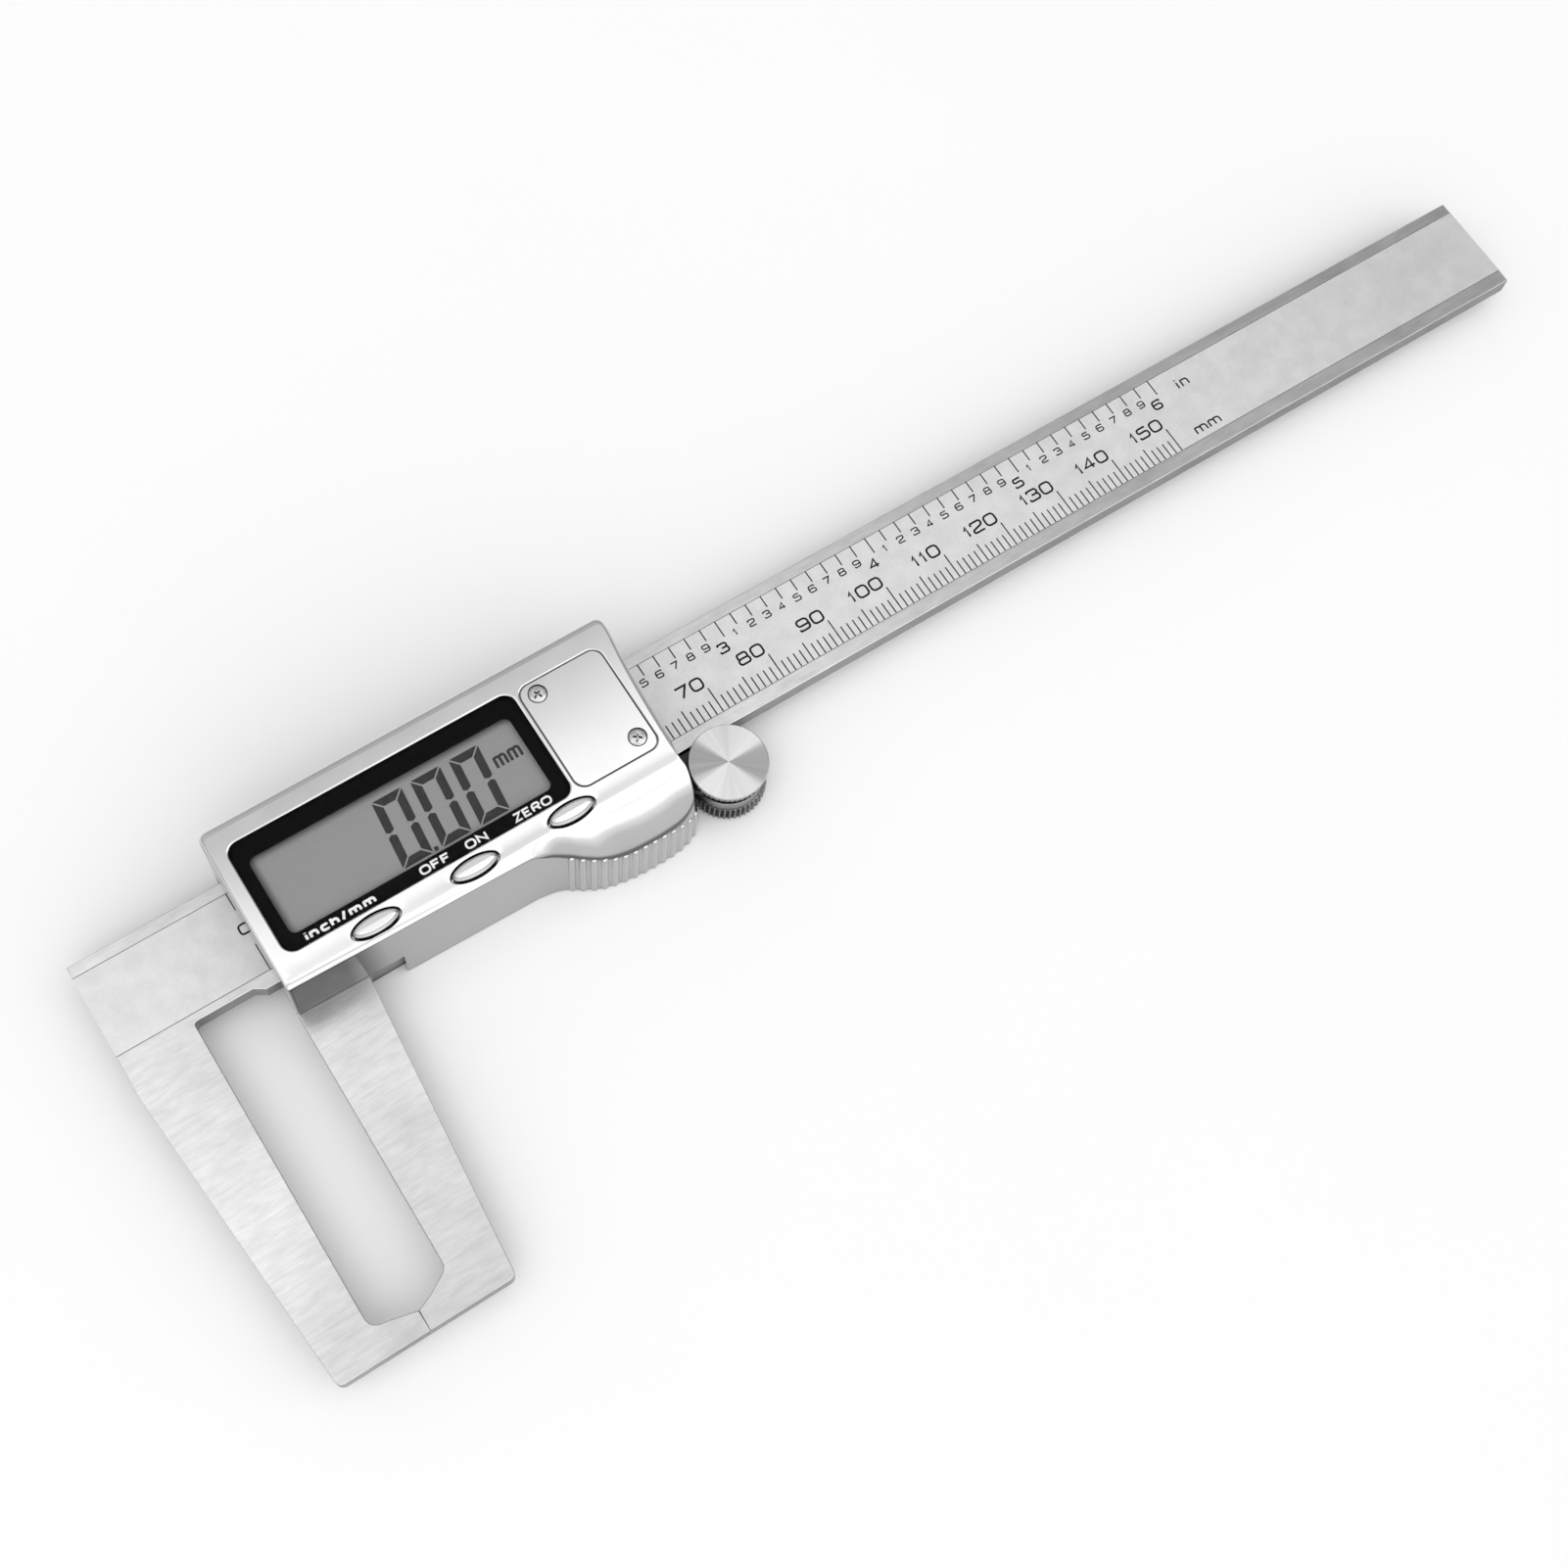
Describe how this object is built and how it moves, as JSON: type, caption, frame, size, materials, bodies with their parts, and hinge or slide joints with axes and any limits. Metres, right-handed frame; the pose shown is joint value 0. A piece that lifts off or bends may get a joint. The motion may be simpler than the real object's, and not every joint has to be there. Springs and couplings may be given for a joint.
{
  "type": "digital caliper for brake discs",
  "caption": "Electronic slide caliper with long stepped jaws for brake discs; display slider runs on a scaled beam by a thumb roller.",
  "frame": {"origin": "centre of the slider's back plate, on the plate's outer face, with the jaws closed", "axes": "+X along the beam from the jaws to its free end, +Y across the beam away from the jaws, +Z out of the display"},
  "size_m": [0.2336, 0.0684, 0.0183],
  "materials": {
    "steel": "ground and brushed stainless steel",
    "scale_print": "fine matt silver plate with black printed scale",
    "scale_board": "printed circuit laminate",
    "stop_steel": "plain steel",
    "brass": "drawn brass",
    "screw_steel": "zinc plated screws",
    "casing": "satin chromed zinc casting",
    "window": "clear polished window",
    "black_print": "gloss black frame with white switch labels",
    "lcd": "grey liquid crystal display",
    "light_plastic": "moulded white plastic",
    "zebra_rubber": "layered contact rubber",
    "board": "green solder mask",
    "black_plastic": "moulded black plastic",
    "button": "bright chromed buttons",
    "cell_steel": "nickel plated button cell",
    "contact": "plated spring contacts",
    "black_steel": "black oxide spring steel",
    "roller_steel": "turned and knurled, plated"
  },
  "bodies": {
    "beam": {"beam_with_fixed_jaw": "steel", "scale_grid": "scale_board", "scale_cover": "scale_print", "travel_stop": "stop_steel", "stop_screws": "screw_steel"},
    "slider": {"slider_frame": "steel", "gib_strip": "brass", "gib_screws": "screw_steel", "back_plate": "stop_steel", "back_plate_screws": "screw_steel", "casing": "casing", "casing_screws": "screw_steel", "display_window": "window", "display_bezel": "black_print", "lcd_panel": "lcd", "lcd_holder": "light_plastic", "zebra_strip": "zebra_rubber", "circuit_board": "board", "chip": "black_plastic", "switches": "black_plastic", "battery_cover": "casing", "battery_cover_screws": "screw_steel", "coin_cell": "cell_steel", "battery_tray": "black_plastic", "battery_contacts": "contact", "roller_arm": "black_steel", "arm_screws": "screw_steel"},
    "roller": {"thumb_roller": "roller_steel", "roller_drum": "roller_steel", "roller_screw": "screw_steel"},
    "button_units": {"button_units": "button"},
    "button_power": {"button_power": "button"},
    "button_zero": {"button_zero": "button"}
  },
  "joints": [
    {"name": "slider_travel", "type": "slide", "parent": "beam", "child": "slider", "axis": [1, 0, 0], "range_m": [0, 0.15]},
    {"name": "roller_spin", "type": "hinge", "parent": "slider", "child": "roller", "pos_m": [0.036, -0.01312, 0.0054], "axis": [0, 0, 1], "range_deg": [-5, 1690]},
    {"name": "press_units", "type": "slide", "parent": "slider", "child": "button_units", "axis": [0, 0, -1], "range_m": [0, 0.0005], "stiffness_N_per_m": 600, "springref_m": -0.0008},
    {"name": "press_power", "type": "slide", "parent": "slider", "child": "button_power", "axis": [0, 0, -1], "range_m": [0, 0.0005], "stiffness_N_per_m": 600, "springref_m": -0.0008},
    {"name": "press_zero", "type": "slide", "parent": "slider", "child": "button_zero", "axis": [0, 0, -1], "range_m": [0, 0.0005], "stiffness_N_per_m": 600, "springref_m": -0.0008}
  ],
  "couplings": [
    {"joint": "roller_spin", "follows": "slider_travel", "rad_per_m": 195.3}
  ]
}
